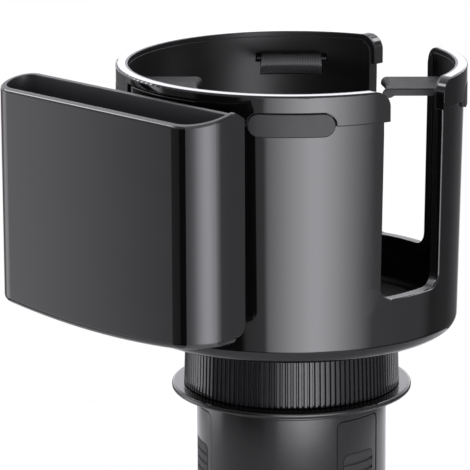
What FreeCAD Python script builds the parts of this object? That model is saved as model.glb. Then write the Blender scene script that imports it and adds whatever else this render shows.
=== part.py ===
import FreeCAD, Part
import math
import os
from FreeCAD import Vector

# Cup holder expander: a wide cup with two handle slots and four sprung tabs stands on a
# narrow expanding base that grips a vehicle's own cup well. A pocket hangs on its side.
# Millimetres. Z is up from the rest face, on the cup's axis. Azimuth 0 faces -Y, +90 faces +X.

# Stack of heights
pad_height = 2.0
base_height = 56.6
skirt_height = 2.7
flange_thickness = 2.0
ring_height = 18.3
turning_gap = 0.3

# Cup wall
wall_radius_top = 53.1
wall_draw = 1.4
wall_thickness = 2.7
bottom_round = 4.5
floor_depth = 80.0
floor_thickness = 2.8
floor_round = 3.0

# Collar over the cup's mouth
collar_wall = 1.1
collar_depth = 9.4
collar_top = 1.6
collar_end = 0.9
collar_round = 0.6
collar_foot_round = 0.3
straight_band = 4.6

# Clearances and depths that many pieces share
seat_gap = 0.05
edge_round = 0.2
root_depth = 0.5
cut_margin = 1.0

# Handle slots
slot_azimuths = (45.2, 134.8)
slot_half_width = 12.6
slot_sill_depth = 64.5
slot_corner = 4.5
slot_flare = 4.0
slot_lip_width = 3.0
slot_lip_height = 0.9
slot_edge_round = 0.5

# Sprung tabs
tab_names = {"front": 0.0, "right": 90.0, "back": 180.0, "left": 270.0}
tab_pivot_inset = 2.9
tab_pivot_depth = 8.9
tab_half_width = 9.6
tab_thickness = 1.9
tab_tip_radius = 28.0
tab_tip_drop = 0.7
tab_hollow = 1.2
tab_nose_round = 1.5
tab_lip_depth = 2.2
tab_lip_slope = 1.2
tab_lip_round = 0.6
tab_rib_count = 23
tab_rib_height = 0.35
tab_rib_width = 0.4
tab_rib_edge = 0.5
tab_rib_margin = 4.0
tab_rib_foot = 0.6
barrel_radius = 1.6
barrel_gap = 3.0
pin_radius = 0.8
pin_end_gap = 0.2
pin_clearance = 0.06
wire_radius = 0.25
leg_radius = 0.24
plate_leg_length = 4.0
wall_leg_lean = 0.35
coil_turns = 5
coil_pitch = 0.75
coil_clearance = 0.15
spring_gap = 0.6

# Tab windows
window_side_gap = 0.4
window_ledge = 1.5
window_headroom = 0.7
window_round = 2.0
window_relief = 5.0
relief_reach = 1.2

# Tab covers
cover_overlap = 1.5
cover_half_height = 3.5
cover_thickness = 1.0
cover_gap = 0.35
lug_side_gap = 0.4
lug_height = 2.0
lug_gap = 0.12

# Floor mat
mat_gap = 3.0
mat_thickness = 1.6
mat_round = 0.6
mat_ridge_insets = (7.7, 21.5)
mat_ridge_height = 0.5
mat_ridge_width = 1.4
mat_ridge_sides = 8
mat_ridge_round = 4.0

# Side pocket, measured outwards from the axis and along its front
pocket_azimuth = -45.0
pocket_standoff = 1.9
pocket_depth = 14.3
pocket_left = -54.0
pocket_right = 19.8
pocket_corner = 12.2
pocket_wall = 1.9
pocket_rim_front = 6.9
pocket_rim_back = 3.3
pocket_bottom_depth = 76.4
pocket_arch_radius = 356.0
pocket_bottom_round = 2.0
pocket_rim_round = 0.8
ear_reach = 3.7
ear_drop = 2.2
ear_round = 3.0
saddle_half_width = 20.0
saddle_rib_thickness = 2.0
saddle_rib_count = 4
saddle_gap = 0.15
saddle_foot = 4.0
hook_azimuth_low = -66.0
hook_azimuth_high = -31.0
hook_play = 1.0
hook_depth = 3.0
hook_thickness = 1.2
hook_round = 0.4
hook_gap = 0.3
hook_drop = 3.0
hook_shelf = 3.0
recess_cut = 0.9
recess_depth_top = 2.4
recess_depth_bottom = 16.0
peg_radius = 2.5
peg_spread = 13.0
peg_depth = 55.0
peg_bite = 1.7

# Spindle
spindle_radius = 13.9
spindle_bore = 11.0
spindle_flange_room = 8.0
spindle_flange_thickness = 4.0
spindle_end_depth = 4.0
spindle_foot = 7.0
spindle_round = 0.5
spindle_screw_count = 4
spindle_screw_azimuth = 45.0

# Adjusting ring, with the outline of one knurl as shares of its pitch and of its depth
ring_radius_top = 33.2
ring_radius_bottom = 33.8
knurl_count = 125
knurl_depth = 0.75
knurl_outline = ((0.0, 0.0), (0.22, 0.0), (0.4, 1.0), (0.82, 1.0))
ring_wall = 2.4
ring_web = 3.0
sleeve_wall = 4.0
running_clearance = 0.1

# Spiral plate and its screws
scroll_thickness = 3.0
scroll_turn = 90.0
scroll_steps = 12
scroll_pin_radius = 1.5
scroll_clearance = 0.25
scroll_edge_gap = 0.45
scroll_rim_wall = 0.8
scroll_bore_wall = 1.2
scroll_screw_angle = 14.0
scroll_screw_length = 8.0

# Base shell and flange
base_radius = 29.75
base_wall = 2.3
base_floor = 3.0
base_round = 1.0
flange_radius = 37.57
flange_round = 0.8
skirt_step = 0.1
lip_height = 1.5
lip_thickness = 1.1
lip_gap = 0.1
boss_radius = 13.0
fin_thickness = 1.4
fin_gap = 2.6
rail_half_width = 1.5
foot_pad_margin = 3.25
foot_pad_round = 0.6
foot_pad_groove = 0.6
foot_pad_groove_radii = (11.9, 19.9)

# Wings
wing_azimuths = (45.5, 165.5, 285.5)
wing_half_width = 8.6
wing_gap = 0.35
wing_bottom = 13.4
wing_top_margin = 1.6
wing_skin = 2.8
wing_inset = 0.15
wing_cheek = 1.6
wing_cheek_length = 5.4
wing_arm = 3.0
wing_corner = 2.0
pad_half_width = 6.4
pad_margin_bottom = 5.5
pad_margin_top = 11.0
pad_depth = 0.9
pad_proud = 0.1
pad_groove_count = 8
pad_groove = 0.5

# Screws
screw_radius = 1.3
screw_head_radius = 2.5
screw_head_height = 1.5
screw_head_gap = 0.2
screw_pilot = 1.2
centre_screw_radius = 2.4
centre_screw_head_radius = 4.5
centre_screw_head_height = 2.4
centre_screw_length = 16.0
centre_screw_core = 2.4

# Levels that follow from the stack
cup_height = floor_depth + floor_thickness
base_bottom = pad_height
skirt_bottom = base_bottom + base_height
flange_bottom = skirt_bottom + skirt_height
flange_top = flange_bottom + flange_thickness
ring_bottom = flange_top + turning_gap
ring_top = ring_bottom + ring_height
cup_bottom = ring_top + turning_gap
rim = cup_bottom + cup_height
floor_top = rim - floor_depth
wall_top = rim - collar_top
band_bottom = rim - collar_depth - straight_band
pivot_level = rim - tab_pivot_depth
scroll_top = flange_bottom - 2 * turning_gap
scroll_bottom = scroll_top - scroll_thickness
spindle_bottom = base_bottom + base_floor + spindle_foot
spindle_flange_bottom = cup_bottom - spindle_flange_thickness
wing_top = skirt_bottom - wing_top_margin - wing_gap

# Radii and widths that follow from the pieces' seats on each other
wall_radius_bottom = wall_radius_top - wall_draw
collar_radius = wall_radius_top + collar_wall
recess_radius = wall_radius_top - recess_cut
mat_radius = wall_radius_bottom - wall_thickness - floor_round - mat_gap
pocket_back = wall_radius_top + pocket_standoff
pocket_front = pocket_back + pocket_depth
tab_pivot_radius = wall_radius_top - tab_pivot_inset
relief_radius = tab_pivot_radius + relief_reach
ledge_half_width = tab_half_width + window_side_gap
window_half_width = ledge_half_width + window_ledge
pin_half_length = window_half_width - pin_end_gap
cover_half_length = window_half_width + cover_overlap
lug_end = window_half_width - lug_side_gap
lug_radius = math.hypot(tab_pivot_radius + pin_radius + lug_gap, lug_end)
ring_inside = ring_radius_top - knurl_depth - ring_wall
spindle_flange_radius = ring_inside - spindle_flange_room
spindle_screw_radius = (spindle_radius + spindle_flange_radius) / 2
sleeve_bore = spindle_radius + running_clearance
sleeve_radius = sleeve_bore + sleeve_wall
scroll_radius = base_radius - base_wall - scroll_edge_gap
scroll_start = sleeve_bore + scroll_bore_wall + scroll_clearance + scroll_pin_radius
scroll_end = scroll_radius - scroll_rim_wall - scroll_clearance - scroll_pin_radius
wing_travel = scroll_end - scroll_start
wing_outer = base_radius - wing_inset
fin_inner = spindle_radius + fin_gap
foot_pad_radius = base_radius - foot_pad_margin

AXIS = Vector(0, 0, 1)
ORIGIN = Vector(0, 0, 0)


# Drawing helpers

def section(radius, height):
    return Vector(0, -radius, height)


def plan(x, y):
    return Vector(x, y, 0)


def outline(corners, place):
    """Closed wire through (a, b, radius) corners, each rounded by a tangent arc."""
    flat = [Vector(a, b, 0) for a, b, radius in corners]
    stretches = []
    for index, (a, b, radius) in enumerate(corners):
        here = flat[index]
        if radius == 0:
            stretches.append((here, here, here))
            continue
        before = (flat[index - 1] - here).normalize()
        after = (flat[(index + 1) % len(flat)] - here).normalize()
        half = before.getAngle(after) / 2
        reach = radius / math.tan(half)
        middle = here + (before + after).normalize() * (radius / math.sin(half) - radius)
        stretches.append((here + before * reach, middle, here + after * reach))
    edges = []
    for index, (first, middle, last) in enumerate(stretches):
        following = stretches[(index + 1) % len(stretches)][0]
        if (last - first).Length > 1e-6:
            arc = Part.Arc(place(first.x, first.y), place(middle.x, middle.y), place(last.x, last.y))
            edges.append(arc.toShape())
        if (following - last).Length > 1e-6:
            edges.append(Part.LineSegment(place(last.x, last.y), place(following.x, following.y)).toShape())
    return Part.Wire(edges)


def turned(corners, start=0.0, sweep=360.0):
    """Solid turned about the axis from a (radius, height, rounding) section."""
    face = Part.Face(outline(corners, section))
    return face.revolve(ORIGIN, AXIS, sweep).rotated(ORIGIN, AXIS, start)


def tube(inner, outer, low, high):
    return turned([(inner, low, 0), (outer, low, 0), (outer, high, 0), (inner, high, 0)])


def post(radius, low, high, place=ORIGIN):
    return Part.makeCylinder(radius, high - low, place + Vector(0, 0, low))


def radial_prism(corners, near, far):
    """Prism facing azimuth 0: (across, height, rounding) corners, from radius near to far."""
    face = Part.Face(outline(corners, lambda across, height: Vector(across, -near, height)))
    return face.extrude(Vector(0, near - far, 0))


def block(half_width, near, far, low, high, rounding=0.0):
    corners = [(-half_width, low), (half_width, low), (half_width, high), (-half_width, high)]
    return radial_prism([(a, b, rounding) for a, b in corners], near, far)


def faced(shape, azimuth):
    return shape.rotated(ORIGIN, AXIS, azimuth)


def polar(radius, azimuth, height=0.0):
    angle = math.radians(azimuth)
    return Vector(radius * math.sin(angle), -radius * math.cos(angle), height)


def joined(shapes):
    whole = shapes[0].multiFuse(shapes[1:]) if len(shapes) > 1 else shapes[0]
    return whole.removeSplitter()


def edges_where(shape, chosen):
    return [edge for edge in shape.Edges if chosen(edge)]


def save(name, shape):
    shape.exportStep(os.path.join("parts", name + ".step"))


# Cup wall surfaces

def wall_radius_at(height):
    """Outer radius of the wall: straight under the collar, then drawn in to the bottom."""
    if height > band_bottom:
        return wall_radius_top
    share = (band_bottom - height) / (band_bottom - cup_bottom)
    return wall_radius_top - share * (wall_radius_top - wall_radius_bottom)


def wall_envelope(offset):
    """Everything inside the cup's outer wall, moved outwards by offset."""
    return turned([
        (0, cup_bottom, 0),
        (wall_radius_bottom + offset, cup_bottom, 0),
        (wall_radius_top + offset, band_bottom, 0),
        (wall_radius_top + offset, rim + cut_margin, 0),
        (0, rim + cut_margin, 0),
    ])


def slot_cutter(half_width, sill, flare, top):
    """Open-topped slot whose top corners flare outwards over the collar's rounded ends."""
    shoulder = half_width + flare
    return radial_prism([
        (-half_width, sill, slot_corner),
        (half_width, sill, slot_corner),
        (half_width, top, flare),
        (shoulder + flare, top, 0),
        (shoulder + flare, top + cup_height, 0),
        (-shoulder - flare, top + cup_height, 0),
        (-shoulder - flare, top, 0),
        (-half_width, top, flare),
    ], tab_tip_radius, collar_radius + cut_margin)


def wall_slot():
    return slot_cutter(slot_half_width, rim - slot_sill_depth, slot_flare, wall_top)


# Cup body: one moulding with its floor, tab windows, slots and the recess for the pocket's hook

def cup_shell():
    inner_top = wall_radius_top - wall_thickness
    inner_bottom = wall_radius_at(floor_top) - wall_thickness
    return turned([
        (0, floor_top, 0),
        (inner_bottom, floor_top, floor_round),
        (inner_top, band_bottom, 0),
        (inner_top, wall_top, 0),
        (wall_radius_top, wall_top, 0),
        (wall_radius_top, band_bottom, 0),
        (wall_radius_bottom, cup_bottom, bottom_round),
        (0, cup_bottom, 0),
    ])


def slot_lip():
    """Raised border that stiffens a slot on the inside of the wall."""
    low = rim - slot_sill_depth - slot_lip_width
    inner_top = wall_radius_top - wall_thickness
    inner_sill = wall_radius_at(rim - slot_sill_depth) - wall_thickness
    band = turned([
        (inner_sill - slot_lip_height, low, 0),
        (inner_sill + root_depth, low, 0),
        (inner_top + root_depth, band_bottom, 0),
        (inner_top + root_depth, wall_top, 0),
        (inner_top - slot_lip_height, wall_top, slot_lip_height / 2),
        (inner_top - slot_lip_height, band_bottom, 0),
    ])
    frame = block(slot_half_width + slot_lip_width, tab_tip_radius, collar_radius, low, rim,
                  slot_corner)
    return band.common(frame)


def tab_window():
    """Opening with two ledges for the pin and a relief under it for the tab's swing."""
    inside = tab_pivot_radius - window_relief
    outside = collar_radius + cut_margin
    ledge = pivot_level - pin_radius
    top = pivot_level + tab_thickness + window_headroom
    upper = radial_prism([
        (-window_half_width, ledge, 0),
        (window_half_width, ledge, 0),
        (window_half_width, top, window_round),
        (-window_half_width, top, window_round),
    ], inside, outside)
    lower = block(ledge_half_width, inside, relief_radius, pivot_level - window_relief, ledge + root_depth)
    through = block(ledge_half_width, inside, outside, pivot_level - barrel_radius, ledge + root_depth)
    return joined([upper, lower, through])


def hook_recess(low, outside):
    """Space round part of the rim where the pocket's hook stands."""
    high = rim - recess_depth_top
    corners = [(recess_radius, low, 0), (outside, low, 0), (outside, high, 0), (recess_radius, high, 0)]
    return turned(corners, hook_azimuth_low, hook_azimuth_high - hook_azimuth_low)


def peg_holes():
    radius = peg_radius + seat_gap
    length = collar_radius - tab_tip_radius
    holes = [Part.makeCylinder(radius, length, Vector(side * peg_spread, -tab_tip_radius, rim - peg_depth),
                               Vector(0, -1, 0)) for side in (-1, 1)]
    return [faced(hole, pocket_azimuth) for hole in holes]


def cup_body():
    lips = [faced(slot_lip(), azimuth) for azimuth in slot_azimuths]
    body = joined([cup_shell()] + lips)
    cutters = [faced(wall_slot(), azimuth) for azimuth in slot_azimuths]
    cutters += [faced(tab_window(), azimuth) for azimuth in tab_names.values()]
    cutters.append(hook_recess(rim - recess_depth_bottom, collar_radius))
    cutters += peg_holes()
    head_seat = floor_top - screw_head_height
    for place in spindle_screw_places():
        cutters.append(post(screw_radius + seat_gap, cup_bottom - cut_margin, floor_top + cut_margin, place))
        cutters.append(post(screw_head_radius + screw_head_gap, head_seat, floor_top + cut_margin, place))
    body = body.cut(cutters).removeSplitter()
    return body.makeFillet(slot_edge_round, edges_where(body, is_slot_edge))


def is_slot_edge(edge):
    """Upright outer edges of the handle slots."""
    box = edge.BoundBox
    middle = box.Center
    radius = math.hypot(middle.x, middle.y)
    upright = box.ZLength > slot_sill_depth / 2
    outside = radius > wall_radius_at(middle.z) - wall_thickness / 2
    return upright and outside


# Collar: one turned section over the mouth, parted by the slots into a main arc and a cap

def collar_pieces():
    inner = wall_radius_top - wall_thickness
    seat = wall_radius_top + seat_gap
    bottom = rim - collar_depth
    outside = [
        (collar_radius, bottom, collar_foot_round),
        (collar_radius, rim, collar_round),
        (inner, rim, edge_round),
    ]
    ring = turned(outside + [(inner, wall_top, 0), (seat, wall_top, 0), (seat, bottom, 0)])
    full = turned(outside + [(inner, bottom, 0)])
    ends = [full.common(faced(wall_slot(), azimuth)) for azimuth in slot_azimuths]
    ring = joined([ring] + ends)
    opening = slot_cutter(slot_half_width - collar_end, bottom - collar_depth, slot_flare + collar_end, rim)
    notch = cover_prism(cover_gap, tab_pivot_radius, collar_radius + cut_margin)
    cutters = [faced(opening, azimuth) for azimuth in slot_azimuths]
    cutters += [faced(notch, azimuth) for azimuth in tab_names.values()]
    cutters.append(hook_recess(bottom - cut_margin, collar_radius + cut_margin))
    pieces = ring.cut(cutters).removeSplitter().Solids
    pieces.sort(key=lambda piece: piece.Volume)
    return pieces[-1], pieces[-2]


# Tab covers: curved stadium plates with two lugs that keep the pin on its ledges

def cover_prism(offset, near, far):
    half_length = cover_half_length + offset
    half_height = cover_half_height + offset
    return block(half_length, near, far, pivot_level - half_height, pivot_level + half_height, half_height)


def tab_cover():
    inner = wall_radius_top + seat_gap
    outer = inner + cover_thickness
    low = pivot_level - 2 * cover_half_height
    high = pivot_level + 2 * cover_half_height
    plate = tube(inner, outer, low, high).common(cover_prism(0, tab_pivot_radius, outer + cut_margin))
    lug_low = pivot_level - pin_radius + 2 * seat_gap
    lugs = tube(lug_radius, inner + cover_thickness / 2, low, high)
    lugs = lugs.common(block(lug_end, tab_tip_radius, outer, lug_low, lug_low + lug_height))
    lugs = lugs.cut(block(ledge_half_width, tab_tip_radius, outer, low, high))
    return joined([plate, lugs])


# Tabs: barrels on a pin, a ribbed plate and a rounded tip that is hollowed to a bottle's curve

def tab_turned(corners):
    """Side outline turned about the upright axis that the tip's hollow is struck from."""
    hollow_radius = (tab_half_width ** 2 + tab_hollow ** 2) / (2 * tab_hollow)
    centre = tab_tip_radius + tab_hollow - hollow_radius
    face = Part.Face(outline(corners, section))
    return face.revolve(Vector(0, -centre, 0), AXIS, 360)


def tab_plate():
    nose = tab_tip_radius + tab_hollow
    low = pivot_level
    high = low + tab_thickness
    tip_low = low - tab_tip_drop
    whole = tab_turned([
        (tab_pivot_radius, low, 0),
        (tab_pivot_radius, high, edge_round),
        (nose, high, tab_nose_round),
        (nose, tip_low, edge_round),
        (nose + tab_lip_depth, tip_low, tab_lip_round),
        (nose + tab_lip_depth + tab_lip_slope, low, tab_lip_round),
    ])
    return whole.common(tab_strip(tab_half_width))


def tab_strip(half_width):
    low = pivot_level - tab_tip_drop - cut_margin
    high = pivot_level + tab_thickness + cut_margin
    return block(half_width, tab_tip_radius - cut_margin, tab_pivot_radius + cut_margin, low, high)


def tab_ribs():
    """Fine ribs along the plate that run down over its nose."""
    nose = tab_tip_radius + tab_hollow
    rear = tab_pivot_radius - tab_rib_margin
    high = pivot_level + tab_thickness
    crest = high + tab_rib_height
    foot = pivot_level - tab_tip_drop + tab_rib_foot
    whole = tab_turned([
        (rear, high - root_depth, 0),
        (rear, crest, edge_round),
        (nose - tab_rib_height, crest, tab_nose_round + tab_rib_height),
        (nose - tab_rib_height, foot, 0),
        (nose + root_depth, foot, 0),
        (nose + root_depth, high - tab_nose_round, 0),
        (nose + tab_nose_round, high - root_depth, 0),
    ])
    end = tab_half_width - tab_rib_edge - tab_rib_width / 2
    pitch = 2 * end / (tab_rib_count - 1)
    strip = tab_strip(tab_rib_width / 2)
    places = [Vector(pitch * index - end, 0, 0) for index in range(tab_rib_count)]
    return [whole.common(strip.translated(place)) for place in places]


def tab():
    barrel = Part.makeCylinder(barrel_radius, 2 * tab_half_width,
                               Vector(-tab_half_width, -tab_pivot_radius, pivot_level), Vector(1, 0, 0))
    bore = Part.makeCylinder(pin_radius + pin_clearance, 2 * window_half_width,
                             Vector(-window_half_width, -tab_pivot_radius, pivot_level), Vector(1, 0, 0))
    body = joined([tab_plate(), barrel] + tab_ribs())
    room = 2 * barrel_radius
    spring_room = block(barrel_gap, tab_pivot_radius - barrel_radius - spring_gap, tab_pivot_radius + room,
                        pivot_level - room, pivot_level + room)
    return body.cut([bore, spring_room]).removeSplitter()


def tab_pin():
    return Part.makeCylinder(pin_radius, 2 * pin_half_length,
                             Vector(-pin_half_length, -tab_pivot_radius, pivot_level), Vector(1, 0, 0))


def tab_spring():
    """Torsion spring: a coil round the pin, one leg standing by the cover, one under the plate."""
    coil_radius = pin_radius + coil_clearance + wire_radius
    length = (coil_turns + 0.25) * coil_pitch
    helix = Part.makeHelix(coil_pitch, length, coil_radius)
    rise = Vector(0, 2 * math.pi * coil_radius, coil_pitch)
    circle = Part.Wire(Part.makeCircle(wire_radius, Vector(coil_radius, 0, 0), rise))
    coil = Part.Wire(helix).makePipeShell([circle], True, True)
    coil = coil.translated(Vector(0, 0, -length / 2)).rotated(ORIGIN, Vector(0, 1, 0), 90)
    coil = coil.rotated(ORIGIN, Vector(1, 0, 0), -90)
    coil = coil.translated(Vector(0, -tab_pivot_radius, pivot_level))
    beside = Vector(-length / 2, -tab_pivot_radius - coil_radius, pivot_level)
    under = Vector(length / 2, -tab_pivot_radius, pivot_level - coil_radius)
    reach = Vector(0, plate_leg_length, coil_radius - wire_radius - seat_gap)
    wall_leg = Part.makeCylinder(leg_radius, barrel_radius, beside, Vector(0, -wall_leg_lean, 1))
    plate_leg = Part.makeCylinder(leg_radius, reach.Length, under, reach)
    return joined([coil, plate_leg, wall_leg])


# Floor mat with a raised many-sided ridge

def floor_mat():
    top = floor_top + mat_thickness
    disc = turned([(0, floor_top, 0), (mat_radius, floor_top, 0), (mat_radius, top, mat_round), (0, top, 0)])
    parts = [disc]
    for inset in mat_ridge_insets:
        outer = ridge_outline(mat_radius - inset)
        inner = ridge_outline(mat_radius - inset - mat_ridge_width)
        ridge = Part.Face([outer, inner]).translated(Vector(0, 0, top - root_depth))
        parts.append(ridge.extrude(Vector(0, 0, root_depth + mat_ridge_height)))
    return joined(parts)


def ridge_outline(radius):
    step = 360 / mat_ridge_sides
    corners = [polar(radius, step * (index + 0.5)) for index in range(mat_ridge_sides)]
    return outline([(corner.x, corner.y, mat_ridge_round) for corner in corners], plan)


# Side pocket: drawn facing azimuth 0, with the pocket's left end at -X, then turned to its place

def pocket_outline(inset):
    """Plan outline: straight front, half-round left end, one large round right corner."""
    front = -pocket_front + inset
    back = -pocket_back - inset
    half_depth = (pocket_front - pocket_back) / 2
    end_centre = -(pocket_front + pocket_back) / 2
    end_radius = half_depth - inset
    side = pocket_right + pocket_corner - inset
    corner_radius = pocket_corner - inset
    corner_centre = Vector(pocket_right, -pocket_front + pocket_corner, 0)
    diagonal = Vector(1, -1, 0).normalize() * corner_radius
    edges = [
        Part.LineSegment(Vector(pocket_left, front, 0), Vector(pocket_right, front, 0)),
        Part.Arc(Vector(pocket_right, front, 0), corner_centre + diagonal,
                 Vector(side, corner_centre.y, 0)),
        Part.LineSegment(Vector(side, corner_centre.y, 0), Vector(side, back, 0)),
        Part.LineSegment(Vector(side, back, 0), Vector(pocket_left, back, 0)),
        Part.Arc(Vector(pocket_left, back, 0), Vector(pocket_left - end_radius, end_centre, 0),
                 Vector(pocket_left, front, 0)),
    ]
    return Part.Wire([edge.toShape() for edge in edges])


def pocket_block(inset, low):
    face = Part.Face(pocket_outline(inset)).translated(Vector(0, 0, low))
    return face.extrude(Vector(0, 0, rim - low))


def pocket_top_cutter():
    """Everything above the sloping rim, with the ear's top falling away behind the back wall."""
    half_width = pocket_depth - pocket_left
    slope = (pocket_rim_front - pocket_rim_back) / pocket_depth
    front = pocket_front + cut_margin
    ear_end = pocket_back - ear_reach
    ear_top = rim - pocket_rim_back - ear_drop
    corners = [
        (front, rim - pocket_rim_front - cut_margin * slope),
        (pocket_back, rim - pocket_rim_back),
        (ear_end, ear_top),
        (ear_end - cut_margin, ear_top),
        (ear_end - cut_margin, rim + cut_margin),
        (front, rim + cut_margin),
    ]
    face = Part.Face(outline([(a, b, 0) for a, b in corners], section))
    return face.translated(Vector(-half_width, 0, 0)).extrude(Vector(2 * half_width, 0, 0))


def pocket_bottom_cutter():
    """Everything below the gently arched bottom edge."""
    middle = (pocket_left + pocket_right) / 2
    low = rim - pocket_bottom_depth
    half_width = pocket_depth - pocket_left
    reach = pocket_front + cut_margin
    drum = Part.makeCylinder(pocket_arch_radius, reach, Vector(middle, 0, low + pocket_arch_radius),
                             Vector(0, -1, 0))
    slab = Part.makeBox(2 * half_width, reach, 2 * pocket_corner,
                        Vector(middle - half_width, -reach, low - pocket_corner))
    return slab.cut(drum)


def pocket_shell():
    low = rim - pocket_bottom_depth
    over_rim = pocket_top_cutter()
    under_bottom = pocket_bottom_cutter()
    body = pocket_block(0, low - cut_margin).cut([over_rim, under_bottom])
    body = body.makeFillet(pocket_bottom_round, edges_where(body, is_pocket_bottom_edge))
    body = body.makeFillet(pocket_rim_round, edges_where(body, is_pocket_rim_edge))
    cavity = pocket_block(pocket_wall, low)
    cavity = cavity.cut(under_bottom.translated(Vector(0, 0, pocket_wall)))
    return joined([body.cut(cavity), pocket_ear().cut(over_rim)])


def pocket_ear():
    """The right side wall carried on past the back wall, with its lower corner rounded."""
    side = pocket_right + pocket_corner
    low = rim - pocket_bottom_depth + pocket_arch_radius
    low -= math.sqrt(pocket_arch_radius ** 2 - (side - (pocket_left + pocket_right) / 2) ** 2)
    low += pocket_bottom_round
    corners = [
        (pocket_back - ear_reach, low, ear_round),
        (pocket_back + pocket_wall / 2, low, 0),
        (pocket_back + pocket_wall / 2, rim, 0),
        (pocket_back - ear_reach, rim, 0),
    ]
    face = Part.Face(outline(corners, section)).translated(Vector(side - pocket_wall, 0, 0))
    return face.extrude(Vector(pocket_wall, 0, 0))


def is_pocket_bottom_edge(edge):
    """Edges along the arched bottom."""
    box = edge.BoundBox
    return box.ZMax < rim - pocket_bottom_depth + 2 * pocket_wall and box.XLength + box.YLength > 1


def is_pocket_rim_edge(edge):
    """Edges along the sloping rim."""
    return edge.BoundBox.ZMin > rim - pocket_rim_front - pocket_wall


def pocket_hook():
    """Tongue that stands in the collar's recess and the shelf that joins it to the back wall."""
    inner = recess_radius + hook_gap / 2
    outer = inner + hook_thickness
    top = rim - hook_depth
    shelf_top = rim - collar_depth - hook_drop
    shelf_low = shelf_top - hook_shelf
    start = hook_azimuth_low + hook_play - pocket_azimuth
    sweep = hook_azimuth_high - hook_azimuth_low - 2 * hook_play
    tongue = turned([(inner, shelf_low, 0), (outer, shelf_low, 0), (outer, top, hook_round),
                     (inner, top, hook_round)], start, sweep)
    shelf = turned([(inner, shelf_low, 0), (pocket_front, shelf_low, 0), (pocket_front, shelf_top, 0),
                    (inner, shelf_top, 0)], start, sweep)
    span = block(saddle_half_width, tab_tip_radius, pocket_back + pocket_wall / 2, shelf_low, shelf_top)
    return joined([tongue, shelf.common(span)])


def saddle_ribs():
    """Upright ribs behind the back wall, cut to the cup's wall so that the pocket bears on it."""
    low = rim - pocket_bottom_depth + saddle_foot
    high = rim - recess_depth_bottom - saddle_gap
    pitch = 2 * saddle_half_width / (saddle_rib_count - 1)
    rib = block(saddle_rib_thickness / 2, tab_tip_radius, pocket_back + pocket_wall / 2, low, high)
    rib_places = [Vector(pitch * index - saddle_half_width, 0, 0) for index in range(saddle_rib_count)]
    wall = wall_envelope(saddle_gap)
    return [rib.translated(place).cut(wall) for place in rib_places]


def pocket_pegs():
    """Pegs that stand in the wall's holes and keep the pocket from swinging."""
    end = wall_radius_at(rim - peg_depth) - peg_bite
    inside = post(end, cup_bottom, rim)
    root = pocket_back + pocket_wall / 2
    peg = Part.makeCylinder(peg_radius, root - tab_tip_radius, Vector(0, -root, rim - peg_depth),
                            Vector(0, 1, 0))
    return [peg.translated(Vector(side * peg_spread, 0, 0)).cut(inside) for side in (-1, 1)]


def phone_pocket():
    whole = joined([pocket_shell(), pocket_hook()] + saddle_ribs() + pocket_pegs())
    return faced(whole, pocket_azimuth)


# Spindle: the fixed tube that the ring turns on, screwed under the cup's floor

def spindle_screw_places():
    step = 360 / spindle_screw_count
    azimuths = [spindle_screw_azimuth + step * index for index in range(spindle_screw_count)]
    return [polar(spindle_screw_radius, azimuth) for azimuth in azimuths]


def spindle():
    bore_end = spindle_bottom + spindle_end_depth
    body = turned([
        (0, spindle_bottom, 0),
        (spindle_radius, spindle_bottom, spindle_round),
        (spindle_radius, spindle_flange_bottom, 0),
        (spindle_flange_radius, spindle_flange_bottom, spindle_round),
        (spindle_flange_radius, cup_bottom, 0),
        (spindle_bore, cup_bottom, 0),
        (spindle_bore, bore_end, 0),
        (0, bore_end, 0),
    ])
    screw_end = base_bottom + centre_screw_length + cut_margin
    core = post(centre_screw_radius + centre_screw_core, spindle_bottom, screw_end + centre_screw_core)
    holes = [post(centre_screw_radius + seat_gap, spindle_bottom - cut_margin, screw_end)]
    low = spindle_flange_bottom - cut_margin
    high = cup_bottom + cut_margin
    holes += [post(screw_radius + seat_gap, low, high, place) for place in spindle_screw_places()]
    return joined([body, core]).cut(holes).removeSplitter()


def spindle_screws():
    head_low = floor_top - screw_head_height
    screws = []
    for place in spindle_screw_places():
        head = post(screw_head_radius, head_low, floor_top - seat_gap, place)
        shank = post(screw_radius, spindle_flange_bottom, head_low + root_depth, place)
        screws.append(joined([head, shank]))
    return Part.makeCompound(screws)


# Adjusting ring: knurled skirt, a stepped web under the spindle's flange and a sleeve to the spiral plate

def knurled_wire(radius, height):
    points = []
    pitch = 360 / knurl_count
    for index in range(knurl_count):
        for share, rise in knurl_outline:
            points.append(polar(radius - knurl_depth * (1 - rise), pitch * (index + share), height))
    return Part.makePolygon(points + points[:1])


def adjusting_ring():
    knurls = Part.makeLoft([knurled_wire(ring_radius_bottom, ring_bottom),
                            knurled_wire(ring_radius_top, ring_top)], True, True)
    recess_wall = spindle_flange_radius + turning_gap
    recess_low = spindle_flange_bottom - turning_gap
    under = ring_bottom - cut_margin
    over = ring_top + cut_margin
    body = knurls.cut([
        post(recess_wall, recess_low, over),
        post(sleeve_bore, under, over),
        tube(sleeve_radius, recess_wall + ring_web, under, recess_low - ring_web),
        tube(recess_wall + ring_web, ring_inside, under, ring_top - ring_web),
    ])
    body = joined([body, tube(sleeve_bore, sleeve_radius, scroll_top, ring_bottom + root_depth)])
    pilot_end = scroll_top + scroll_screw_length + cut_margin
    return body.cut([post(screw_pilot, scroll_top - cut_margin, pilot_end, place)
                     for place in scroll_screw_places()])


def scroll_screw_places():
    radius = sleeve_bore + sleeve_wall / 2
    return [polar(radius, azimuth + scroll_screw_angle) for azimuth in wing_azimuths]


# Spiral plate: turns with the ring and drives the wings' pins along three spirals

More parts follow.
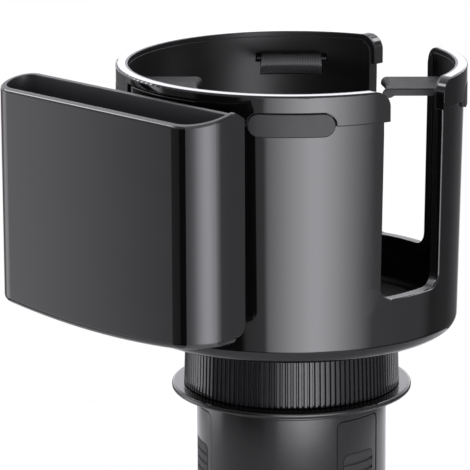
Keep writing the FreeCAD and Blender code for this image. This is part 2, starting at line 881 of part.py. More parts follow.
def spiral_slot(azimuth):
    """Slot whose radius grows by the wings' travel over the ring's turn, drawn for one wing."""
    growth = wing_travel / math.radians(scroll_turn)
    half_width = scroll_pin_radius + scroll_clearance
    inner_side = []
    outer_side = []
    for index in range(scroll_steps + 1):
        turn = math.radians(scroll_turn) * index / scroll_steps
        radius = scroll_start + growth * turn
        angle = math.radians(azimuth) - turn
        outwards = Vector(math.sin(angle), -math.cos(angle), 0)
        onwards = Vector(outwards.y, -outwards.x, 0)
        across = (outwards * radius - onwards * growth).normalize()
        inner_side.append(outwards * radius - across * half_width)
        outer_side.append(outwards * radius + across * half_width)
    sides = []
    for points in (inner_side, outer_side):
        curve = Part.BSplineCurve()
        curve.interpolate(points)
        sides.append(curve.toShape())
    caps = []
    for end, neighbour in ((0, 1), (-1, -2)):
        first = inner_side[end]
        last = outer_side[end]
        inward = (inner_side[neighbour] + outer_side[neighbour] - first - last).normalize()
        tip = (first + last) * 0.5 - inward * half_width
        caps.append(Part.Arc(first, tip, last).toShape())
    wire = Part.Wire(Part.__sortEdges__(sides + caps))
    face = Part.Face(wire).translated(Vector(0, 0, scroll_bottom - cut_margin))
    return face.extrude(Vector(0, 0, scroll_thickness + 2 * cut_margin))


def scroll_plate():
    disc = tube(sleeve_bore, scroll_radius, scroll_bottom, scroll_top)
    cutters = [spiral_slot(azimuth) for azimuth in wing_azimuths]
    cutters += [post(screw_pilot + seat_gap, scroll_bottom - cut_margin, scroll_top + cut_margin, place)
                for place in scroll_screw_places()]
    return disc.cut(cutters).removeSplitter()


def scroll_screws():
    radius = screw_pilot - seat_gap / 2
    end = scroll_top + scroll_screw_length
    return Part.makeCompound([post(radius, scroll_bottom, end, place) for place in scroll_screw_places()])


# Base flange: the disc under the ring with a short skirt that caps the base shell

def base_flange():
    skirt_outer = base_radius + skirt_step
    skirt_inner = base_radius - base_wall
    lip_outer = skirt_inner + lip_thickness + lip_gap
    lip_top = skirt_bottom + lip_height + lip_gap
    hole = sleeve_radius + turning_gap
    return turned([
        (hole, flange_bottom, 0),
        (hole, flange_top, edge_round),
        (flange_radius, flange_top, flange_round),
        (flange_radius, flange_bottom, flange_round),
        (skirt_outer, flange_bottom, edge_round),
        (skirt_outer, skirt_bottom, edge_round),
        (lip_outer, skirt_bottom, 0),
        (lip_outer, lip_top, 0),
        (skirt_inner, lip_top, 0),
        (skirt_inner, flange_bottom, 0),
    ])


# Base shell: tube with a floor, three wing windows, guide fins and rails

def base_shell():
    inner = base_radius - base_wall
    floor = base_bottom + base_floor
    root = floor - root_depth
    shell = turned([
        (0, base_bottom, 0),
        (base_radius, base_bottom, base_round),
        (base_radius, skirt_bottom, 0),
        (inner + lip_thickness, skirt_bottom, 0),
        (inner + lip_thickness, skirt_bottom + lip_height, edge_round),
        (inner, skirt_bottom + lip_height, 0),
        (inner, floor, base_round),
        (boss_radius, floor, base_round),
        (boss_radius, spindle_bottom, 0),
        (0, spindle_bottom, 0),
    ])
    fin = block(fin_thickness / 2, fin_inner, base_radius, root, wing_top)
    fin_offset = wing_half_width + wing_gap + fin_thickness / 2
    rail = block(rail_half_width, fin_inner, base_radius, root, wing_bottom - turning_gap)
    guides = [rail, fin.translated(Vector(fin_offset, 0, 0)), fin.translated(Vector(-fin_offset, 0, 0))]
    keep = post(base_radius - base_wall / 2, base_bottom, skirt_bottom)
    guides = [guide.common(keep) for guide in guides]
    shell = joined([shell] + [faced(guide, azimuth) for azimuth in wing_azimuths for guide in guides])
    window = block(wing_half_width + wing_gap, fin_inner, base_radius + cut_margin, wing_bottom - wing_gap,
                   wing_top + wing_gap, wing_corner + wing_gap)
    under = base_bottom - cut_margin
    head_top = base_bottom + centre_screw_head_height + seat_gap
    cutters = [faced(window, azimuth) for azimuth in wing_azimuths]
    cutters.append(post(centre_screw_radius + seat_gap, under, spindle_bottom + cut_margin))
    cutters.append(post(centre_screw_head_radius + screw_head_gap, under, head_top))
    return shell.cut(cutters).removeSplitter()


def centre_screw():
    head_top = base_bottom + centre_screw_head_height
    head = post(centre_screw_head_radius, base_bottom + seat_gap, head_top)
    shank = post(centre_screw_radius, head_top - root_depth, base_bottom + centre_screw_length)
    return joined([head, shank])


def foot_pad():
    """Anti-slip disc under the base, with two ring grooves in its face."""
    disc = turned([(0, 0, 0), (foot_pad_radius, 0, foot_pad_round), (foot_pad_radius, pad_height, 0),
                   (0, pad_height, 0)])
    grooves = [tube(radius, radius + 2 * foot_pad_groove, -cut_margin, foot_pad_groove)
               for radius in foot_pad_groove_radii]
    return disc.cut(grooves)


# Wings: curved skins on open frames that slide outwards through the windows

def wing():
    low = wing_bottom
    high = wing_top
    skin_inner = wing_outer - wing_skin
    chord = math.sqrt(skin_inner ** 2 - wing_half_width ** 2)
    skin = tube(skin_inner, wing_outer, low, high)
    pieces = [skin.common(block(wing_half_width, fin_inner, wing_outer, low, high))]
    inner = scroll_start - scroll_pin_radius - cut_margin
    behind_skin = post(skin_inner + root_depth, low, high)
    for arm_low in (low, high - wing_arm):
        arm = block(wing_half_width, inner, wing_outer, arm_low, arm_low + wing_arm)
        pieces.append(arm.common(behind_skin))
    cheek = block(wing_cheek / 2, chord - wing_cheek_length, chord + root_depth, low, high)
    for side in (-1, 1):
        pieces.append(cheek.translated(Vector(side * (wing_half_width - wing_cheek / 2), 0, 0)))
    body = joined(pieces).common(block(wing_half_width, 0, wing_outer, low, high, wing_corner))
    pin = post(scroll_pin_radius, high - root_depth, scroll_top - turning_gap, Vector(0, -scroll_start, 0))
    return joined([body.cut(pad_seat(0)), pin])


def pad_seat(gap):
    """Room for the grip in the wing's skin, drawn in by gap all round."""
    low = wing_bottom + pad_margin_bottom + gap
    high = wing_top - pad_margin_top - gap
    outline_block = block(pad_half_width - gap, fin_inner, base_radius + cut_margin, low, high, wing_corner)
    return tube(wing_outer - pad_depth, base_radius + cut_margin, low, high).common(outline_block)


def wing_pad():
    """Rubber grip set into the wing's skin, with level grooves."""
    face = wing_outer + pad_proud
    low = wing_bottom + pad_margin_bottom
    pitch = (wing_top - pad_margin_top - low) / (pad_groove_count + 1)
    pad = pad_seat(seat_gap).common(post(face, wing_bottom, wing_top))
    groove = tube(face - pad_groove, face + cut_margin, low - pad_groove, low + pad_groove)
    steps = [Vector(0, 0, pitch * (index + 1)) for index in range(pad_groove_count)]
    return pad.cut([groove.translated(step) for step in steps])


# Every piece to its own file

os.makedirs("parts", exist_ok=True)

collar_main, collar_post = collar_pieces()
save("cup_body", cup_body())
save("collar_ring", collar_main)
save("post_collar", collar_post)
tab_shapes = {"tab_": tab(), "tab_pin_": tab_pin(), "tab_spring_": tab_spring(), "tab_cover_": tab_cover()}
for place_name, azimuth in tab_names.items():
    for kind, shape in tab_shapes.items():
        save(kind + place_name, faced(shape, azimuth))
save("floor_mat", floor_mat())
save("phone_pocket", phone_pocket())
save("spindle", spindle())
save("spindle_screws", spindle_screws())
save("adjusting_ring", adjusting_ring())
save("scroll_plate", scroll_plate())
save("scroll_screws", scroll_screws())
save("base_flange", base_flange())
save("base_shell", base_shell())
save("centre_screw", centre_screw())
save("foot_pad", foot_pad())
wing_shapes = {"wing_": wing(), "wing_pad_": wing_pad()}
for number, azimuth in enumerate(wing_azimuths, 1):
    for kind, shape in wing_shapes.items():
        save(kind + str(number), faced(shape, azimuth))
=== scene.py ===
import bpy
from math import pi, radians
from mathutils import Matrix, Vector


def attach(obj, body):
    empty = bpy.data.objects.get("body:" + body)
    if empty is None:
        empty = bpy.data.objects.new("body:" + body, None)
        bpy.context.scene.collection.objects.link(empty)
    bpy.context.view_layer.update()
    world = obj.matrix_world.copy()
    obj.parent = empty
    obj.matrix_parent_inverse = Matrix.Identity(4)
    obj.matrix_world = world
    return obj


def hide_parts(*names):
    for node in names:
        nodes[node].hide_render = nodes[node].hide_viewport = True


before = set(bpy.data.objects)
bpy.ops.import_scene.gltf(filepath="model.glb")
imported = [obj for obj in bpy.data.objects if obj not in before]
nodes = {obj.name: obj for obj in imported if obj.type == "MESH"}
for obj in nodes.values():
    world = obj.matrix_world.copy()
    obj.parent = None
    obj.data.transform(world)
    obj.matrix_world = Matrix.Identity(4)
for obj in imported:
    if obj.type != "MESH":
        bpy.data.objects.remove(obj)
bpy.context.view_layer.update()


# The cup is one injection moulding in black ABS with a polished surface. Its floor is screwed to the
# spindle, two open slots take a mug's handle, and its skin shows the faint unevenness that a
# polished mould leaves, with a soft haze where it was wiped.
def new_group(name, inputs, outputs):
    """Empty shader group with float or vector sockets given as (name, kind, default)."""
    group = bpy.data.node_groups.new(name, "ShaderNodeTree")
    for label, kind, default in inputs:
        socket = group.interface.new_socket(name=label, in_out="INPUT", socket_type=kind)
        if default is not None:
            socket.default_value = default
    for label, kind in outputs:
        group.interface.new_socket(name=label, in_out="OUTPUT", socket_type=kind)
    return group, group.nodes.new("NodeGroupInput"), group.nodes.new("NodeGroupOutput")


def moulded_skin_group():
    """Roughness that drifts between two values, and a normal with a faint long waviness."""
    group, entry, result = new_group(
        "moulded_skin",
        [("Low", "NodeSocketFloat", 0.1), ("High", "NodeSocketFloat", 0.2),
         ("Haze Scale", "NodeSocketFloat", 60.0), ("Wave Scale", "NodeSocketFloat", 25.0),
         ("Wave Depth", "NodeSocketFloat", 0.1), ("Edge Round", "NodeSocketFloat", 0.0003)],
        [("Roughness", "NodeSocketFloat"), ("Normal", "NodeSocketVector")])
    make, link = group.nodes.new, group.links.new
    place = make("ShaderNodeTexCoord")
    haze = make("ShaderNodeTexNoise")
    haze.inputs["Detail"].default_value = 5.0
    haze.inputs["Roughness"].default_value = 0.62
    spread = make("ShaderNodeMapRange")
    spread.inputs["From Min"].default_value = 0.3
    spread.inputs["From Max"].default_value = 0.75
    wave = make("ShaderNodeTexNoise")
    wave.inputs["Detail"].default_value = 1.0
    bump = make("ShaderNodeBump")
    bump.inputs["Distance"].default_value = 0.0004
    softened = make("ShaderNodeBevel")
    softened.samples = 6
    link(entry.outputs["Edge Round"], softened.inputs["Radius"])
    link(softened.outputs["Normal"], bump.inputs["Normal"])
    link(place.outputs["Object"], haze.inputs["Vector"])
    link(place.outputs["Object"], wave.inputs["Vector"])
    link(entry.outputs["Haze Scale"], haze.inputs["Scale"])
    link(entry.outputs["Wave Scale"], wave.inputs["Scale"])
    link(haze.outputs["Fac"], spread.inputs["Value"])
    link(entry.outputs["Low"], spread.inputs["To Min"])
    link(entry.outputs["High"], spread.inputs["To Max"])
    link(wave.outputs["Fac"], bump.inputs["Height"])
    link(entry.outputs["Wave Depth"], bump.inputs["Strength"])
    link(spread.outputs["Result"], result.inputs["Roughness"])
    link(bump.outputs["Normal"], result.inputs["Normal"])
    return group


def edge_rub_group():
    """Mask that is high along edges of the mesh, broken up by noise, for rubbed mould edges."""
    group, entry, result = new_group(
        "edge_rub",
        [("Width", "NodeSocketFloat", 0.0004), ("Break Scale", "NodeSocketFloat", 400.0)],
        [("Mask", "NodeSocketFloat")])
    make, link = group.nodes.new, group.links.new
    rounded = make("ShaderNodeBevel")
    rounded.samples = 4
    surface = make("ShaderNodeNewGeometry")
    compare = make("ShaderNodeVectorMath")
    compare.operation = "DOT_PRODUCT"
    edge = make("ShaderNodeMapRange")
    edge.inputs["From Min"].default_value = 0.995
    edge.inputs["From Max"].default_value = 0.85
    place = make("ShaderNodeTexCoord")
    breaks = make("ShaderNodeTexNoise")
    breaks.inputs["Detail"].default_value = 3.0
    part = make("ShaderNodeMath")
    part.operation = "MULTIPLY"
    link(entry.outputs["Width"], rounded.inputs["Radius"])
    link(rounded.outputs["Normal"], compare.inputs[0])
    link(surface.outputs["Normal"], compare.inputs[1])
    link(compare.outputs["Value"], edge.inputs["Value"])
    link(place.outputs["Object"], breaks.inputs["Vector"])
    link(entry.outputs["Break Scale"], breaks.inputs["Scale"])
    link(edge.outputs["Result"], part.inputs[0])
    link(breaks.outputs["Fac"], part.inputs[1])
    link(part.outputs["Value"], result.inputs["Mask"])
    return group


def seam_shade_group():
    """Mask that is 1 close to a piece's own edges, where the shadow of its seam falls."""
    group, entry, result = new_group(
        "seam_shade", [("Width", "NodeSocketFloat", 0.0005), ("Top", "NodeSocketFloat", 1.0)],
        [("Mask", "NodeSocketFloat")])
    make, link = group.nodes.new, group.links.new
    rounded = make("ShaderNodeBevel")
    rounded.samples = 8
    surface = make("ShaderNodeNewGeometry")
    compare = make("ShaderNodeVectorMath")
    compare.operation = "DOT_PRODUCT"
    edge = make("ShaderNodeMapRange")
    edge.inputs["From Min"].default_value = 0.998
    edge.inputs["From Max"].default_value = 0.95
    place = make("ShaderNodeTexCoord")
    height = make("ShaderNodeSeparateXYZ")
    below = make("ShaderNodeMath")
    below.operation = "LESS_THAN"
    both = make("ShaderNodeMath")
    both.operation = "MULTIPLY"
    link(entry.outputs["Width"], rounded.inputs["Radius"])
    link(rounded.outputs["Normal"], compare.inputs[0])
    link(surface.outputs["Normal"], compare.inputs[1])
    link(compare.outputs["Value"], edge.inputs["Value"])
    link(place.outputs["Object"], height.inputs["Vector"])
    link(height.outputs["Z"], below.inputs[0])
    link(entry.outputs["Top"], below.inputs[1])
    link(edge.outputs["Result"], both.inputs[0])
    link(below.outputs["Value"], both.inputs[1])
    link(both.outputs["Value"], result.inputs["Mask"])
    return group


def bore_zone_group():
    """Mask that is 1 inside a round bore and above its floor, and 0 on the outside."""
    group, entry, result = new_group(
        "bore_zone",
        [("Radius", "NodeSocketFloat", 0.0512), ("Floor", "NodeSocketFloat", 0.0838)],
        [("Mask", "NodeSocketFloat")])
    make, link = group.nodes.new, group.links.new
    place = make("ShaderNodeTexCoord")
    level = make("ShaderNodeVectorMath")
    level.operation = "MULTIPLY"
    level.inputs[1].default_value = (1, 1, 0)
    reach = make("ShaderNodeVectorMath")
    reach.operation = "LENGTH"
    height = make("ShaderNodeSeparateXYZ")
    within = make("ShaderNodeMath")
    within.operation = "LESS_THAN"
    above = make("ShaderNodeMath")
    above.operation = "GREATER_THAN"
    both = make("ShaderNodeMath")
    both.operation = "MULTIPLY"
    link(place.outputs["Object"], level.inputs[0])
    link(level.outputs["Vector"], reach.inputs[0])
    link(place.outputs["Object"], height.inputs["Vector"])
    link(reach.outputs["Value"], within.inputs[0])
    link(entry.outputs["Radius"], within.inputs[1])
    link(height.outputs["Z"], above.inputs[0])
    link(entry.outputs["Floor"], above.inputs[1])
    link(within.outputs["Value"], both.inputs[0])
    link(above.outputs["Value"], both.inputs[1])
    link(both.outputs["Value"], result.inputs["Mask"])
    return group


moulded_skin = moulded_skin_group()
edge_rub = edge_rub_group()
seam_shade = seam_shade_group()
bore_zone = bore_zone_group()


def moulded_plastic(name, colour, edge_colour, low, high, wave_depth, gloss=0.5, edge_round=0.0003,
                    inside=None, inside_roughness=None, inside_sheen_colour=None, seam_top=None):
    """Black moulded plastic: its colour lightens a little along edges, and its skin is uneven.

    Where inside is given, that zone's mask gives the moulding's inner faces their own roughness. Where a
    colour is given for them too, it is a lighter grey painted in as the sheen of light those faces reflect.
    Where seam_top is given, the edges below that height lie in the shadow of their seam."""
    material = bpy.data.materials.new(name)
    material.use_nodes = True
    make, link = material.node_tree.nodes.new, material.node_tree.links.new
    shader = material.node_tree.nodes["Principled BSDF"]
    shader.inputs["Specular IOR Level"].default_value = gloss
    skin = make("ShaderNodeGroup")
    skin.node_tree = moulded_skin
    skin.inputs["Low"].default_value = low
    skin.inputs["High"].default_value = high
    skin.inputs["Wave Depth"].default_value = wave_depth
    skin.inputs["Edge Round"].default_value = edge_round
    rub = make("ShaderNodeGroup")
    rub.node_tree = edge_rub
    mix = make("ShaderNodeMix")
    mix.data_type = "RGBA"
    mix.inputs["A"].default_value = colour
    mix.inputs["B"].default_value = edge_colour
    link(rub.outputs["Mask"], mix.inputs["Factor"])
    link(skin.outputs["Normal"], shader.inputs["Normal"])
    tint, roughness = mix.outputs["Result"], skin.outputs["Roughness"]
    if inside is not None:
        zone = make("ShaderNodeGroup")
        zone.node_tree = inside
        satin = make("ShaderNodeMix")
        satin.inputs["B"].default_value = inside_roughness
        link(zone.outputs["Mask"], satin.inputs["Factor"])
        link(roughness, satin.inputs["A"])
        roughness = satin.outputs["Result"]
        # A colour given for the inner faces is a lighter grey, a painted sheen of the light they reflect.
        if inside_sheen_colour is not None:
            painted_inner_sheen = make("ShaderNodeMix")
            painted_inner_sheen.data_type = "RGBA"
            painted_inner_sheen.inputs["B"].default_value = inside_sheen_colour
            link(zone.outputs["Mask"], painted_inner_sheen.inputs["Factor"])
            link(tint, painted_inner_sheen.inputs["A"])
            tint = painted_inner_sheen.outputs["Result"]
    if seam_top is not None:
        seam = make("ShaderNodeGroup")
        seam.node_tree = seam_shade
        seam.inputs["Top"].default_value = seam_top
        shadow = make("ShaderNodeMix")
        shadow.data_type = "RGBA"
        shadow.inputs["B"].default_value = (0.001, 0.001, 0.001, 1)
        dulled = make("ShaderNodeMix")
        dulled.inputs["B"].default_value = 1.0
        link(seam.outputs["Mask"], shadow.inputs["Factor"])
        link(tint, shadow.inputs["A"])
        link(seam.outputs["Mask"], dulled.inputs["Factor"])
        link(roughness, dulled.inputs["A"])
        tint, roughness = shadow.outputs["Result"], dulled.outputs["Result"]
    link(tint, shader.inputs["Base Color"])
    link(roughness, shader.inputs["Roughness"])
    return material


def finish_node(name, material):
    """Give a frame node its material in every slot."""
    node = nodes[name]
    for slot in node.material_slots:
        slot.material = material


def seamless_copy(name, node_name, material):
    """Copy of a turned node whose shading runs on across the line at its front where its mesh closes."""
    line_width = 0.000001
    turned_face = 0.08
    bpy.ops.object.select_all(action="DESELECT")
    nodes[node_name].select_set(True)
    bpy.context.view_layer.objects.active = nodes[node_name]
    bpy.ops.object.duplicate()
    piece = bpy.context.object
    piece.name = name
    mesh = piece.data
    directions = [corner.vector.copy() for corner in mesh.corner_normals]
    for corner, direction in zip(mesh.loops, directions):
        place = mesh.vertices[corner.vertex_index].co
        if abs(place.x) < line_width and place.y < 0 and abs(direction.x) < turned_face:
            direction.x = 0
            direction.normalize()
    mesh.normals_split_custom_set(directions)
    for slot in piece.material_slots:
        slot.material = material
    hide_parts(node_name)
    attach(piece, "cup")
    return piece


polish = (0.002, 0.002, 0.0022, 1)
polish_edge = (0.02, 0.02, 0.022, 1)
cup_black = moulded_plastic("cup_black", polish, polish_edge, low=0.05, high=0.09, wave_depth=0.02,
                            inside=bore_zone, inside_roughness=0.36)
seamless_copy("cup_shell", "cup_body", cup_black)


# The collar is a separate moulding in the same polished black, snapped over the cup's mouth. The
# slots part it into a long arc and a cap on the post between them.
collar_black = moulded_plastic("collar_black", polish, polish_edge, low=0.05, high=0.09, wave_depth=0.02,
                               inside=bore_zone, inside_roughness=0.36, seam_top=0.158)
seamless_copy("collar_band", "collar_ring", collar_black)
finish_node("post_collar", collar_black)


# Four tabs fold down on steel pins and spring back. Each is a small satin moulding with fine ribs
# over its nose, held by a pin behind a stadium-shaped cover that is pressed in from outside.
satin_black = moulded_plastic("satin_black", (0.01, 0.01, 0.011, 1), (0.03, 0.03, 0.032, 1),
                              low=0.42, high=0.5, wave_depth=0.1, gloss=0.33, edge_round=0.0001)
cover_black = moulded_plastic("cover_black", (0.012, 0.012, 0.013, 1), (0.03, 0.03, 0.032, 1),
                              low=0.42, high=0.5, wave_depth=0.02, gloss=0.38, edge_round=0.0001,
                              seam_top=1.0)


def blackened_steel():
    """Steel wire and pins with a black oxide finish and fine drawn streaks."""
    material = bpy.data.materials.new("blackened_steel")
    material.use_nodes = True
    make, link = material.node_tree.nodes.new, material.node_tree.links.new
    shader = material.node_tree.nodes["Principled BSDF"]
    shader.inputs["Metallic"].default_value = 1.0
    shader.inputs["Base Color"].default_value = (0.05, 0.05, 0.055, 1)
    skin = make("ShaderNodeGroup")
    skin.node_tree = moulded_skin
    skin.inputs["Low"].default_value = 0.25
    skin.inputs["High"].default_value = 0.45
    skin.inputs["Haze Scale"].default_value = 900.0
    skin.inputs["Wave Scale"].default_value = 600.0
    skin.inputs["Wave Depth"].default_value = 0.2
    link(skin.outputs["Roughness"], shader.inputs["Roughness"])
    link(skin.outputs["Normal"], shader.inputs["Normal"])
    return material


dark_steel = blackened_steel()
for side in ("front", "right", "back", "left"):
    finish_node("tab_" + side, satin_black)
    finish_node("tab_cover_" + side, cover_black)
    finish_node("tab_pin_" + side, dark_steel)
    finish_node("tab_spring_" + side, dark_steel)


# The mat on the cup's floor is moulded silicone rubber, laid in loose, with raised ridges.
def soft_rubber(name, colour, grain_scale, grain_depth):
    """Black rubber with a fine stipple."""
    material = bpy.data.materials.new(name)
    material.use_nodes = True
    make, link = material.node_tree.nodes.new, material.node_tree.links.new
    shader = material.node_tree.nodes["Principled BSDF"]
    place = make("ShaderNodeTexCoord")
    grain = make("ShaderNodeTexNoise")
    grain.inputs["Scale"].default_value = grain_scale
    grain.inputs["Detail"].default_value = 4.0
    tone = make("ShaderNodeMapRange")
    tone.inputs["To Min"].default_value = 0.55
    tone.inputs["To Max"].default_value = 0.8
    bump = make("ShaderNodeBump")
    bump.inputs["Strength"].default_value = grain_depth
    bump.inputs["Distance"].default_value = 0.0002
    link(place.outputs["Object"], grain.inputs["Vector"])
    link(grain.outputs["Fac"], tone.inputs["Value"])
    link(grain.outputs["Fac"], bump.inputs["Height"])
    link(tone.outputs["Result"], shader.inputs["Roughness"])
    link(bump.outputs["Normal"], shader.inputs["Normal"])
    shader.inputs["Base Color"].default_value = colour
    return material


mat_rubber = soft_rubber("mat_rubber", (0.012, 0.012, 0.013, 1), 1500.0, 0.4)


def soft_copy(name, node_name, edge, material):
    """Rubber piece taken from a frame node, with merged seams and edges as round as a soft mould leaves."""
    bpy.ops.object.select_all(action="DESELECT")
    nodes[node_name].select_set(True)
    bpy.context.view_layer.objects.active = nodes[node_name]
    bpy.ops.object.duplicate()
    piece = bpy.context.object
    piece.name = name
    bpy.ops.object.mode_set(mode="EDIT")
    bpy.ops.mesh.select_all(action="SELECT")
    bpy.ops.mesh.remove_doubles(threshold=0.000002)
    bpy.ops.object.mode_set(mode="OBJECT")
    rounding = piece.modifiers.new("rounding", "BEVEL")
    rounding.width = edge
    rounding.segments = 3
    rounding.limit_method = "ANGLE"
    rounding.angle_limit = radians(40)
    rounding.use_clamp_overlap = True
    bpy.ops.object.modifier_apply(modifier="rounding")
    bpy.ops.object.shade_smooth_by_angle(angle=radians(35))
    piece.data.materials.clear()
    piece.data.materials.append(material)
    return piece


mat = soft_copy("soft_mat", "floor_mat", 0.00025, mat_rubber)
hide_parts("floor_mat")
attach(mat, "cup")


# The pocket is one long moulding with a half-round left end. It hangs by a tongue behind the collar
# and bears on the cup's wall with ribs. It is polished outside and satin inside. Its inside is coloured a
# lighter grey, a painted sheen that stands in for the light its satin walls reflect.
def pocket_zone_group():
    """Mask that is 1 within the pocket's cavity, in the pocket's own turned axes."""
    group, entry, result = new_group(
        "pocket_zone",
        [("Middle", "NodeSocketVector", (-0.0146, -0.06215, 0.0)),
         ("Half Length", "NodeSocketFloat", 0.0456), ("Half Depth", "NodeSocketFloat", 0.0061)],
        [("Mask", "NodeSocketFloat")])
    make, link = group.nodes.new, group.links.new
    place = make("ShaderNodeTexCoord")
    turn = make("ShaderNodeVectorRotate")
    turn.rotation_type = "Z_AXIS"
    turn.inputs["Angle"].default_value = radians(45)
    offset = make("ShaderNodeVectorMath")
    offset.operation = "SUBTRACT"
    size = make("ShaderNodeVectorMath")
    size.operation = "ABSOLUTE"
    parts = make("ShaderNodeSeparateXYZ")
    along = make("ShaderNodeMath")
    along.operation = "LESS_THAN"
    across = make("ShaderNodeMath")
    across.operation = "LESS_THAN"
    both = make("ShaderNodeMath")
    both.operation = "MULTIPLY"
    link(place.outputs["Object"], turn.inputs["Vector"])
    link(turn.outputs["Vector"], offset.inputs[0])
    link(entry.outputs["Middle"], offset.inputs[1])
    link(offset.outputs["Vector"], size.inputs[0])
    link(size.outputs["Vector"], parts.inputs["Vector"])
    link(parts.outputs["X"], along.inputs[0])
    link(entry.outputs["Half Length"], along.inputs[1])
    link(parts.outputs["Y"], across.inputs[0])
    link(entry.outputs["Half Depth"], across.inputs[1])
    link(along.outputs["Value"], both.inputs[0])
    link(across.outputs["Value"], both.inputs[1])
    link(both.outputs["Value"], result.inputs["Mask"])
    return group


# The lighter grey given for the cavity is painted sheen, not the moulding's own colour.
pocket_black = moulded_plastic("pocket_black", polish, polish_edge, low=0.05, high=0.09, wave_depth=0.02,
                               inside=pocket_zone_group(), inside_roughness=0.3,
                               inside_sheen_colour=(0.03, 0.03, 0.032, 1))
finish_node("phone_pocket", pocket_black)


# The adjusting ring is one moulding that is turned by hand. It runs on the spindle, a sleeve inside
# it drives the spiral plate, and its ribs are moulded in the same black, less polished.
ring_black = moulded_plastic("ring_black", (0.008, 0.008, 0.009, 1), (0.03, 0.03, 0.032, 1),
                             low=0.08, high=0.12, wave_depth=0.03, gloss=0.32, edge_round=0.00004)
finish_node("adjusting_ring", ring_black)


# The spindle and the spiral plate are plain satin mouldings inside the base, out of sight. Screws of
# blackened steel hold the spindle to the cup, the plate to the ring's sleeve and the base to the spindle.
for name in ("spindle", "scroll_plate"):
    finish_node(name, satin_black)
for name in ("spindle_screws", "scroll_screws", "centre_screw"):
    finish_node(name, dark_steel)


# The base is a polished moulding too: a flange disc on a tube with three windows. A curved wing
# slides out of each window, with a rubber grip set into it, and a rubber disc is glued underneath.
base_black = moulded_plastic("base_black", polish, polish_edge, low=0.16, high=0.22, wave_depth=0.02,
                             gloss=0.48, edge_round=0.0002)
seamless_copy("flange_disc", "base_flange", base_black)
seamless_copy("base_tube", "base_shell", base_black)
wing_black = moulded_plastic("wing_black", polish, polish_edge, low=0.16, high=0.22, wave_depth=0.02,
                             gloss=0.48, edge_round=0.0002, seam_top=1.0)
grip_rubber = soft_rubber("grip_rubber", (0.015, 0.015, 0.016, 1), 2500.0, 0.3)
for number in ("1", "2", "3"):
    finish_node("wing_" + number, wing_black)
    grip = soft_copy("grip_" + number, "wing_pad_" + number, 0.0001, grip_rubber)
    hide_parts("wing_pad_" + number)
    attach(grip, "wing_" + number)
foot = soft_copy("foot_disc", "foot_pad", 0.00025, grip_rubber)
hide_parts("foot_pad")
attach(foot, "cup")


# The floor is a pale round table top, small enough that the cup's walls reflect the studio past it.
# It keeps the object's shadow.
floor_radius = 0.2
bpy.ops.object.select_all(action="DESELECT")
bpy.ops.mesh.primitive_circle_add(vertices=128, radius=floor_radius, fill_type="NGON", location=(0, 0, 0))
floor = bpy.context.object
floor.name = "floor"


def pale_floor():
    """Matt off-white table top."""
    material = bpy.data.materials.new("pale_floor")
    material.use_nodes = True
    shader = material.node_tree.nodes["Principled BSDF"]
    shader.inputs["Base Color"].default_value = (0.86, 0.86, 0.86, 1)
    shader.inputs["Roughness"].default_value = 0.9
    shader.inputs["Specular IOR Level"].default_value = 0.1
    return material


floor.data.materials.append(pale_floor())


# The studio is a round of soft screens. Their brightness is given by bearing in degrees, where 0 is
# the camera's side and + is to the right, once for the screens that stand low and once for those that
# stand high. Two edge lights stand behind them on the left and right, and the backdrop is white.
low_screens = (
    (-180, 0.6), (-165, 0.15), (-140, 0.35), (-129, 0.7), (-120, 2.2), (-110, 2.7), (-98, 2.4), (-95, 1.9),
    (-92, 0.5), (-90, 0.22), (-66, 0.2), (-62, 0.02), (-34, 0.02), (-31, 0.5), (-18, 0.7), (-16, 2.4),
    (-9, 3.7), (2, 5.8), (13, 7.5), (19, 7.5), (30, 5.8), (40, 3.8), (57, 0.85), (100, 0.5), (112, 0.15),
    (135, 0.12), (160, 0.2), (180, 0.6))
high_screens = (
    (-180, 3.0), (-145, 3.0), (-115, 1.6), (-90, 1.0), (-45, 0.8), (0, 1.3), (35, 1.3), (60, 0.8),
    (90, 1.0), (115, 1.6), (145, 3.0), (180, 3.0))


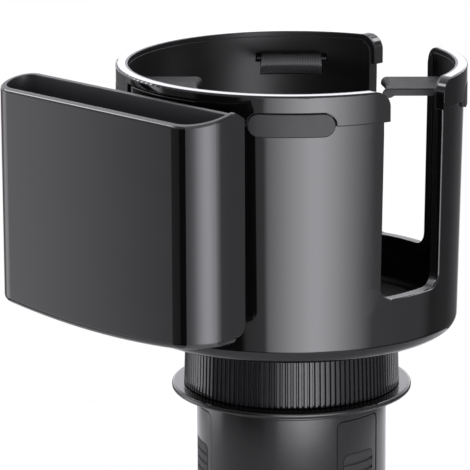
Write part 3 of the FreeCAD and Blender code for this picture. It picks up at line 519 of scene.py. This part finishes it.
def studio_room():
    """World that lights the object from its screens and shows the camera a white background."""
    world = bpy.data.worlds.new("studio")
    world.use_nodes = True
    make, link = world.node_tree.nodes.new, world.node_tree.links.new
    background = world.node_tree.nodes["Background"]
    cool = make("ShaderNodeMix")
    cool.data_type = "RGBA"
    cool.inputs["A"].default_value = (1.0, 0.99, 1.04, 1)
    cool.inputs["B"].default_value = (1, 1, 1, 1)
    place = make("ShaderNodeTexCoord")
    parts = make("ShaderNodeSeparateXYZ")
    link(place.outputs["Generated"], parts.inputs["Vector"])

    def number(operation, first, second=None):
        """Result of one sum on sockets or plain numbers."""
        node = make("ShaderNodeMath")
        node.operation = operation
        for socket, value in zip(node.inputs, (first, second)):
            if isinstance(value, (int, float)):
                socket.default_value = value
            elif value is not None:
                link(value, socket)
        return node.outputs["Value"]

    def blend(value, start, end, low, high):
        """Smooth change from low to high while value goes from start to end."""
        node = make("ShaderNodeMapRange")
        node.interpolation_type = "SMOOTHSTEP"
        link(value, node.inputs["Value"])
        node.inputs["From Min"].default_value = start
        node.inputs["From Max"].default_value = end
        for socket, level in ((node.inputs["To Min"], low), (node.inputs["To Max"], high)):
            if isinstance(level, (int, float)):
                socket.default_value = level
            else:
                link(level, socket)
        return node.outputs["Result"]

    bearing = number("ARCTAN2", parts.outputs["X"], number("MULTIPLY", parts.outputs["Y"], -1.0))
    turn_from_front = number("DIVIDE", bearing, 2 * pi)
    turn = number("ADD", turn_from_front, 0.5)
    turn_aside = number("ABSOLUTE", turn_from_front)
    brightest = 8.0

    def screens(stops):
        """Brightness of a round of screens, given as (bearing, radiance)."""
        ramp = make("ShaderNodeValToRGB")
        ramp.color_ramp.interpolation = "LINEAR"
        points = ramp.color_ramp.elements
        while len(points) < len(stops):
            points.new(0.5)
        for point, (degrees, radiance) in zip(points, stops):
            point.position = (degrees + 180) / 360
            point.color = [radiance / brightest] * 3 + [1]
        link(turn, ramp.inputs["Fac"])
        return number("MULTIPLY", ramp.outputs["Color"], brightest)

    height = parts.outputs["Z"]
    low = number("MULTIPLY", screens(low_screens), blend(height, -0.5, -0.32, 0.15, 1.0))
    high = number("MULTIPLY", screens(high_screens), blend(height, 0.2, 0.28, 1.0, 0.5))
    ceiling = 0.8
    high = blend(height, 0.5, 0.85, high, ceiling)

    edge_light_turn = 0.34
    edge_light_height = 0.62
    full_within, none_beyond = 0.06, 0.08
    aside = number("ABSOLUTE", number("SUBTRACT", turn_aside, edge_light_turn))
    upward = number("ABSOLUTE", number("SUBTRACT", height, edge_light_height))
    edge_lights = number("MULTIPLY", blend(aside, full_within, none_beyond, 1.0, 0.0),
                         blend(upward, full_within, none_beyond, 1.0, 0.0))
    lit_edges = number("MULTIPLY", edge_lights, brightest)

    low_top = 0.03
    around = number("ADD", blend(height, low_top, 0.14, low, high), lit_edges)
    path = make("ShaderNodeLightPath")
    backdrop_turn = 0.465
    behind = number("GREATER_THAN", turn_aside, backdrop_turn)
    reflected = number("MAXIMUM", path.outputs["Is Glossy Ray"], path.outputs["Is Transmission Ray"])
    low_down = number("LESS_THAN", height, low_top)
    backdrop = number("MULTIPLY", number("MULTIPLY", reflected, behind), low_down)
    white = number("MAXIMUM", path.outputs["Is Camera Ray"], backdrop)
    link(white, cool.inputs["Factor"])
    link(cool.outputs["Result"], background.inputs["Color"])
    link(blend(white, 0.0, 1.0, around, 1.0), background.inputs["Strength"])
    return world


bpy.context.scene.world = studio_room()


# The camera stands a metre in front and looks down by about 14 degrees. It is turned a little to the
# left, so that the cup's axis lies to the right of the picture's middle, as in the photograph.
camera_data = bpy.data.cameras.new("camera")
camera_data.lens = 264.3
camera = bpy.data.objects.new("camera", camera_data)
bpy.context.collection.objects.link(camera)
camera_place = Vector((0, -1.0433, 0.3685))
pitch_down = 13.92
turn_left = 0.937
camera.matrix_world = (Matrix.Translation(camera_place) @ Matrix.Rotation(radians(90 - pitch_down), 4, "X")
                       @ Matrix.Rotation(radians(turn_left), 4, "Y"))
bpy.context.scene.camera = camera
bpy.context.scene.view_settings.view_transform = "Standard"
